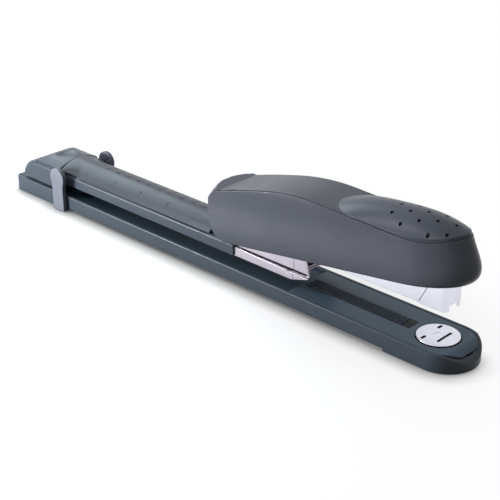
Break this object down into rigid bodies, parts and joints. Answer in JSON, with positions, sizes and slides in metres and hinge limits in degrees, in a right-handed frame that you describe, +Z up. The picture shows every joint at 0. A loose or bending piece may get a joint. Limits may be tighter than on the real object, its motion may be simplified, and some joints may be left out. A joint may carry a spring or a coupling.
{
  "type": "stapler",
  "caption": "Long-reach office stapler with a slim base, turning anvil, deep arm, sprung staple magazine, lifting handle and a paper stop that slides along the base.",
  "frame": {"origin": "middle of the base's length and width, on the surface the stapler stands on", "axes": "+X along the base towards the anvil, +Y across it, +Z up"},
  "size_m": [0.375, 0.0458, 0.0805],
  "materials": {
    "body_plastic": "satin",
    "handle_plastic": "satin",
    "stop_plastic": "satin",
    "dark_plastic": "matte",
    "bush_plastic": "matte",
    "dark_steel": "satin",
    "strip_rubber": "matte",
    "foot_rubber": "matte",
    "zinc_steel": "bright zinc",
    "nickel_steel": "bright nickel",
    "spring_steel": "polished",
    "fastener_steel": "satin",
    "staple_steel": "bright"
  },
  "bodies": {
    "base": {"base_shell": "body_plastic", "base_feet": "foot_rubber", "front_table": "body_plastic", "table_screws": "fastener_steel", "base_deck": "dark_steel", "grip_strip": "strip_rubber", "rear_block": "body_plastic", "rear_housing": "body_plastic", "rear_cap": "body_plastic", "arm_channel": "dark_steel", "arm_cover": "body_plastic", "arm_screws": "fastener_steel", "arm_nuts": "fastener_steel", "bracket_channel": "zinc_steel", "pivot_yoke": "zinc_steel", "bracket_rivets": "fastener_steel", "pivot_pin": "fastener_steel", "pin_clips": "spring_steel", "pivot_bushes": "bush_plastic", "head_spring": "spring_steel"},
    "anvil": {"anvil_disc": "nickel_steel", "anvil_stud": "fastener_steel", "anvil_washer": "spring_steel", "anvil_clip": "spring_steel"},
    "magazine": {"magazine_channel": "nickel_steel", "nose_sleeve": "nickel_steel", "staple_rail": "zinc_steel", "staple_strip": "staple_steel", "follower_rod": "fastener_steel", "follower_spring": "spring_steel"},
    "follower": {"follower": "dark_plastic"},
    "handle": {"handle_skirt": "handle_plastic", "handle_top": "handle_plastic", "handle_frame": "zinc_steel", "frame_screws": "fastener_steel", "driver_blade": "spring_steel", "handle_spring": "spring_steel"},
    "paper_stop": {"paper_stop": "stop_plastic"}
  },
  "joints": [
    {"name": "head_swing", "type": "hinge", "parent": "base", "child": "magazine", "pos_m": [0.024, 0, 0.0435], "axis": [0, 1, 0], "range_deg": [0, 7.3], "stiffness_Nm_per_rad": 4, "springref_deg": -8.59, "deforming": ["head_spring"]},
    {"name": "handle_press", "type": "hinge", "parent": "magazine", "child": "handle", "pos_m": [0.024, 0, 0.0435], "axis": [0, 1, 0], "range_deg": [-55, 5], "stiffness_Nm_per_rad": 8, "springref_deg": -0.69, "deforming": ["handle_spring"]},
    {"name": "follower_slide", "type": "slide", "parent": "magazine", "child": "follower", "axis": [1, 0, 0], "range_m": [-0.03, 0], "stiffness_N_per_m": 60, "springref_m": 0.03, "deforming": ["follower_spring"]},
    {"name": "anvil_turn", "type": "hinge", "parent": "base", "child": "anvil", "pos_m": [0.1631, 0, 0], "axis": [0, 0, 1], "range_deg": [0, 180]},
    {"name": "stop_slide", "type": "slide", "parent": "base", "child": "paper_stop", "axis": [1, 0, 0], "range_m": [0, 0.25]}
  ]
}
